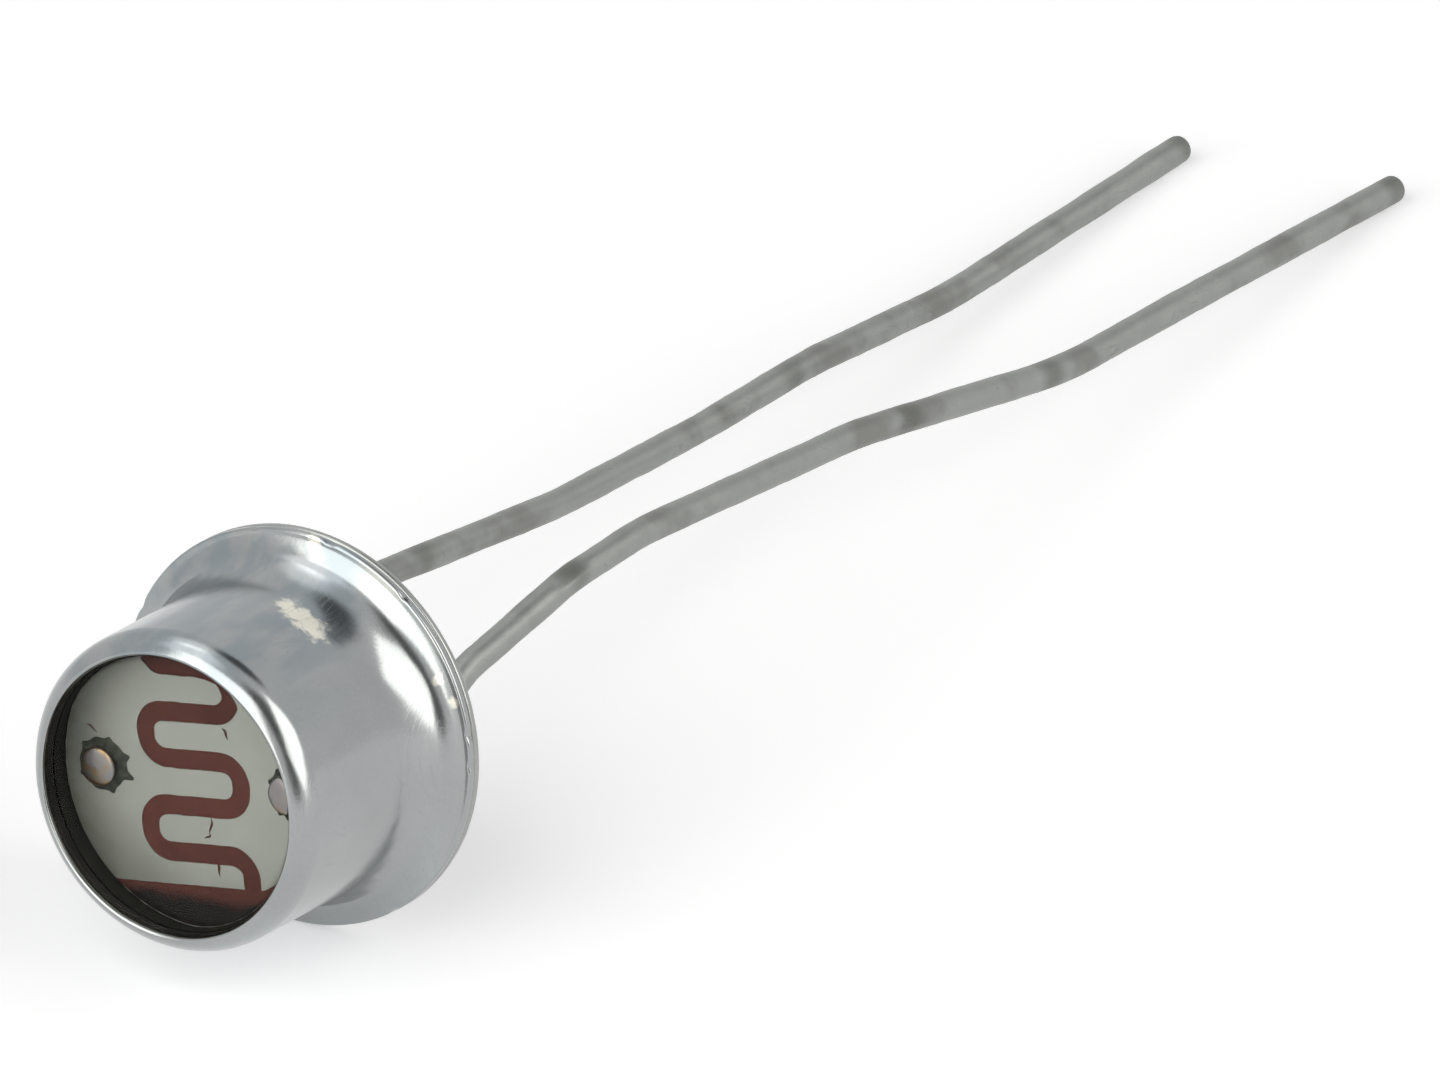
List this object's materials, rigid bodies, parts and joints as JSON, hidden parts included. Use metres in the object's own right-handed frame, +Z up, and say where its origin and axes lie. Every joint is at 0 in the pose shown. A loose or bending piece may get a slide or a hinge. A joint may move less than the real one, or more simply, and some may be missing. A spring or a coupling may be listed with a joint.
{
  "type": "photoresistor",
  "caption": "Light-dependent resistor in a round flanged metal can with a glass window and two long wire leads, lying at rest.",
  "frame": {"origin": "centre of the overall bounding box, on the floor under the part", "axes": "+X from the window towards the lead tips, +Z up; the can leans back 6.2 degrees on the lowest edge of its flange and the lead tips lie on the floor"},
  "size_m": [0.029, 0.0056, 0.0056],
  "materials": {
    "cap_metal": "bright nickel-plated, drawn",
    "window_glass": "clear",
    "header_metal": "nickel-plated",
    "seal_glass": "dark sealing glass",
    "lead_metal": "dull tinned",
    "cement": "matt",
    "ceramic": "matt, unglazed",
    "photoconductor": "matt red-brown film",
    "electrode": "satin evaporated film",
    "bond": "dark conductive cement"
  },
  "bodies": {
    "root": {"window_cap": "cap_metal", "window_glass": "window_glass", "header_eyelet": "header_metal", "header_glass": "seal_glass", "lead_left": "lead_metal", "lead_right": "lead_metal", "substrate_cement": "cement", "ceramic_substrate": "ceramic", "photoconductor": "photoconductor", "electrode_left": "electrode", "electrode_right": "electrode", "bond_left": "bond", "bond_right": "bond"}
  },
  "joints": []
}
